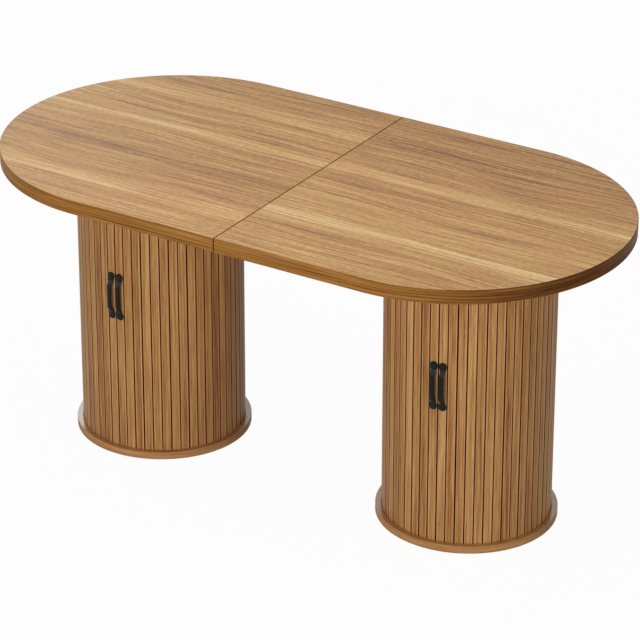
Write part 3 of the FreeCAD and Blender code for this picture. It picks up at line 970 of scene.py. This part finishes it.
def disc(name, low, groove_up):
    """Drum disc: its grooved face is inset twice and the ring between is sunk, and its rims and
    the groove's lips are eased. The rim is edge-banded."""
    high = low + DISC_THICKNESS
    face_z, up = (high, 1) if groove_up else (low, -1)
    piece = round_block(name, DISC_RADIUS, low, high, 4 * SLATS_ROUND)
    with_faces(piece, lambda centre, normal: normal.z * up > 0.99)
    bpy.ops.mesh.inset(thickness=DISC_RADIUS - GROOVE_OUTER)
    bpy.ops.mesh.inset(thickness=GROOVE_OUTER - GROOVE_INNER)
    put_down()

    def in_groove(centre, normal):
        return normal.z * up > 0.99 and GROOVE_INNER < hypot(centre.x, centre.y) < GROOVE_OUTER

    with_faces(piece, in_groove)
    drawn_out(0, 0, -up * GROOVE_DEPTH)
    put_down()

    def on_circle(ends, radius, z):
        return all(near(p.z, z, 1e-5) and near(hypot(p.x, p.y), radius, 0.0003) for p in ends)

    with_edges(piece, lambda *ends: any(on_circle(ends, r, face_z) for r in (GROOVE_OUTER, GROOVE_INNER)))
    ease(LIP_EASE)
    with_edges(piece, lambda *ends: any(on_circle(ends, DISC_RADIUS, z) for z in (low, high)))
    ease(RIM_EASE, 3)
    banded = DISC_RADIUS - 0.75 * RIM_EASE
    second_finish_on(piece, lambda centre, normal: hypot(centre.x, centre.y) > banded)
    return smoothed(finished(piece, DISC_LAMINATE, DISC_BANDING), 40)


def shelf_board():
    """Loose shelf: a round board cut off at both sides and behind, with its edges eased."""
    piece = round_block("shelf_pattern", SHELF_FRONT, SHELF_TOP - SHELF_THICKNESS, SHELF_TOP, 192)
    half_width = UPRIGHT_X[0] - SHELF_PLAY
    back = BACK_PANEL_Y[0] - SHELF_PLAY
    for place in ((half_width, 0, 0), (-half_width, 0, 0), (0, back, 0)):
        inward = -Vector(place).normalized()
        with_faces(piece, anywhere)
        bpy.ops.mesh.bisect(plane_co=place, plane_no=inward, use_fill=True, clear_inner=True)
        put_down()
    eased_all(piece, BOARD_EASE)
    second_finish_on(piece, lambda centre, normal: normal.y < -0.3 and abs(normal.z) < 0.9)
    return smoothed(finished(piece, SHELF_LAMINATE, EDGE_BANDING), 40)


def felt_pads():
    """Four square felt pads under a base disc, with soft corners."""
    pads = []
    for azimuth in (45, 135, 225, 315):
        pad = block(f"pad_{azimuth}", (0, -PAD_DISTANCE, PAD_SIZE[2] / 2), PAD_SIZE)
        with_edges(pad, lambda a, b: abs(a.z - b.z) > 0.001)
        ease(PAD_CORNER, 4)
        with_edges(pad, lambda a, b: near(a.z, b.z) and max(a.z, b.z) < 0.001)
        ease(0.0008)
        pad.data.transform(turn(azimuth))
        pads.append(pad)
    return smoothed(finished(joined(pads, "pad_pattern"), FELT), 40)


def drum_uprights():
    """The left and the right upright of a drum, banded on their front edges."""
    for side, sign in (("left", -1), ("right", 1)):
        near_x, far_x = sorted(sign * x for x in UPRIGHT_X)
        low, high = (near_x, UPRIGHT_Y[0], DRUM_LOW), (far_x, UPRIGHT_Y[1], DRUM_HIGH)
        upright = board(f"upright_{side}", low, high)
        second_finish_on(upright, lambda centre, normal: normal.y < -0.5)
        yield f"upright_{side}", smoothed(finished(upright, UPRIGHT_LAMINATE, UPRIGHT_BANDING))


def back_panel():
    """Thin panel between the uprights."""
    low, high = (-UPRIGHT_X[0], BACK_PANEL_Y[0], DRUM_LOW), (UPRIGHT_X[0], BACK_PANEL_Y[1], DRUM_HIGH)
    return finished(smoothed(board("panel", low, high, 0.0004)), UPRIGHT_LAMINATE)


def shelf_cleats():
    """Two square cleats on the uprights, under the shelf."""
    cleats = []
    for sign in (-1, 1):
        left, right = sorted((sign * (UPRIGHT_X[0] - CLEAT), sign * UPRIGHT_X[0]))
        low, high = (left, CLEAT_Y[0], CLEAT_HIGH - CLEAT), (right, CLEAT_Y[1], CLEAT_HIGH)
        cleats.append(board(f"cleat_{sign}", low, high, 0.001))
    return smoothed(finished(joined(cleats, "cleats"), BEECH))


def door_stop():
    """Block in the rear of the groove, where the CAD has it, brought to the middle of the table."""
    low, high = [corner - Vector((DRUMS["left_drum"], 0, 0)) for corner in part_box("left_drum_door_stop")]
    return smoothed(finished(board("stop", low, high), BEECH))


def carcass_screw_places(x):
    """Screws of the drum at x: through the cleats, up into the top disc, and under the base disc."""
    down = (0, 0, -1)
    places = []
    for sign in (1, -1):
        inner_side = x + sign * (UPRIGHT_X[0] - CLEAT)
        places += [((inner_side, y, CLEAT_HIGH - CLEAT / 2), (-sign, 0, 0)) for y in CLEAT_SCREW_Y]
    for across, along, z in (
        (TOP_DISC_SCREW_X, TOP_DISC_SCREW_Y, DRUM_HIGH),
        (BASE_DISC_SCREW_X, BASE_DISC_SCREW_Y, DISC_LOW),
    ):
        places += [((x + dx, y, z), down) for dx in (-across, across) for y in along]
    return places


def make_carcasses(head):
    """The two drums without their doors."""
    back_slat = slat_pattern(BACK_FACE, DRUM_LOW, DRUM_HIGH)
    azimuths = [180 + BACK_PITCH * (k - (BACK_SLATS - 1) / 2) for k in range(BACK_SLATS)]
    back = BACK_FACE - SLAT_THICKNESS
    patterns = {
        "base_disc": (disc("base", DISC_LOW, True), "disc_laminate"),
        "top_disc": (disc("crown", DRUM_HIGH, False), "disc_laminate"),
        "shelf": (shelf_board(), "carcass_board"),
        "glides": (felt_pads(), "glide_felt"),
        **{side: (upright, "carcass_board") for side, upright in drum_uprights()},
        "back_panel": (back_panel(), "carcass_board"),
        "shelf_cleats": (shelf_cleats(), "raw_wood"),
        "door_stop": (door_stop(), "raw_wood"),
    }
    for drum, x in DRUMS.items():
        for name, (pattern, slot) in patterns.items():
            piece = copied(pattern, f"{drum}_{name}_piece", along_table(x))
            fitted(piece, "carcass", slot, f"{drum}_{name}")
        slats = curtain(f"{drum}_back_curtain", back_slat, azimuths, DRUM_LOW, DRUM_HIGH)
        canvas = cloth(f"{drum}_back_canvas", BACK_ROUND, 180, azimuths, back)
        hung(slats, canvas, x, "carcass", f"{drum}_back")
        fitted(screws(f"{drum}_carcass_screws", head, carcass_screw_places(x)), "carcass", "plate_steel")
    thrown_away(back_slat, *[pattern for pattern, slot in patterns.values()])


def make_seam_plates(head):
    """Three flat steel plates under the seam, round at the corners, four screws in each."""
    plate_low = TOP_LOW - PLATE_SIZE[2]
    plates, places = [], []
    for y in PLATE_Y:
        plate = block(f"plate_{y}", (0, y, TOP_LOW - PLATE_SIZE[2] / 2), PLATE_SIZE)
        with_edges(plate, lambda a, b: abs(a.z - b.z) > 0.001)
        ease(PLATE_CORNER, 6)
        with_edges(plate, lambda a, b: near(a.z, b.z) and max(a.z, b.z) < TOP_LOW - 0.001)
        ease(0.0004)
        plates.append(plate)
        places += [((x, y, plate_low), (0, 0, -1)) for x in PLATE_SCREW_X]
    piece = smoothed(finished(joined(plates, "seam_plate_set"), ZINC), 40)
    fitted(piece, "carcass", "plate_steel", "seam_plates")
    fitted(screws("seam_plate_screws", head, places), "carcass", "plate_steel")


# Floor, light and camera


def in_view(tree):
    """1 for what the camera sees, directly or in metal or glass, and 0 for what lights the table."""
    ray = add(tree, "LightPath").outputs
    seen = add(tree, "Math", {0: ray["Is Camera Ray"], 1: ray["Is Glossy Ray"]}, operation="MAXIMUM")
    return add(tree, "Math", {0: seen, 1: ray["Is Transmission Ray"]}, operation="MAXIMUM")


def pale_floor():
    """Matt floor, nearly white where it is seen, which keeps the table's shadow."""
    bpy.ops.mesh.primitive_plane_add(size=40, location=(0, 0, 0))
    floor = named("studio_floor")
    finish, tree = new_finish("matt_white_floor")
    surfaced(finish, "#C6C5C3", 0.9, specular=0.1)
    share = add(tree, "Math", {0: in_view(tree), 1: 0.97}, operation="MULTIPLY")
    white = add(tree, "Emission", {"Color": "#FFFFFF", "Strength": 1})
    mixed = add(tree, "MixShader", {0: share, 1: tree.nodes["Principled BSDF"], 2: white})
    plugged(tree, tree.nodes["Material Output"], {"Surface": mixed})
    finished(floor, finish)


def white_world():
    """White all round, which lights the table a little."""
    world = bpy.data.worlds.new("white_studio")
    bpy.context.scene.world = world
    world.use_nodes = True
    tree = world.node_tree
    strength = add(tree, "MapRange", {0: in_view(tree), 3: 0.10, 4: 1})
    plugged(tree, tree.nodes["Background"], {"Color": "#FFFFFF", "Strength": strength})


def softboxes():
    """Square lamps: each one's place, what it aims at, its width and its power in watts."""
    for name, place, target, size, power in (
        ("softbox_over", (-0.35, -0.5, 4.2), (0, 0, 0.7), 3.6, 79),
        ("softbox_front", (0.6, -4.6, 1.5), (0, 0, 0.4), 2.6, 131),
        ("softbox_right", (4.4, -1.0, 1.6), (0, 0, 0.4), 2.6, 40),
        ("softbox_left", (-3.6, 2.4, 1.3), (0, 0, 0.4), 2.4, 32),
        ("softbox_behind", (-1.6, 4.4, 0.72), (0, 0, 0.45), 1.4, 30),
    ):
        lamp = bpy.data.lights.new(name, "AREA")
        lamp.shape = "SQUARE"
        lamp.size = size
        lamp.energy = power
        holder = bpy.data.objects.new(name, lamp)
        # The low lamps aren't mirrored: glossy faces seen at a low angle keep their colour
        holder.visible_glossy = name not in ("softbox_front", "softbox_behind")
        holder.matrix_world = facing(place, Vector(place) - Vector(target))
        bpy.context.scene.collection.objects.link(holder)


def three_quarter_camera():
    """Camera above the right front corner, far off with a long lens."""
    lens = bpy.data.cameras.new("camera")
    lens.sensor_width = 36
    lens.lens = CAMERA_LENS
    lens.clip_end = 100
    camera = bpy.data.objects.new("camera", lens)
    tilt = Matrix.Rotation(radians(90 - CAMERA_DIP), 4, "X")
    camera.matrix_world = Matrix.Translation(CAMERA_PLACE) @ turn(CAMERA_TURN) @ tilt @ turn(CAMERA_ROLL)
    bpy.context.scene.collection.objects.link(camera)
    bpy.context.scene.camera = camera


three_quarter_camera()
pale_floor()
white_world()
softboxes()
make_top()
screw = screw_head("screw_pattern", SCREW_RADIUS, SCREW_HEIGHT)
make_doors(screw)
make_carcasses(screw)
make_seam_plates(screw)
thrown_away(screw)
finished(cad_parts["seam_tongue"], BEECH)

bpy.context.scene.view_settings.view_transform = "Standard"
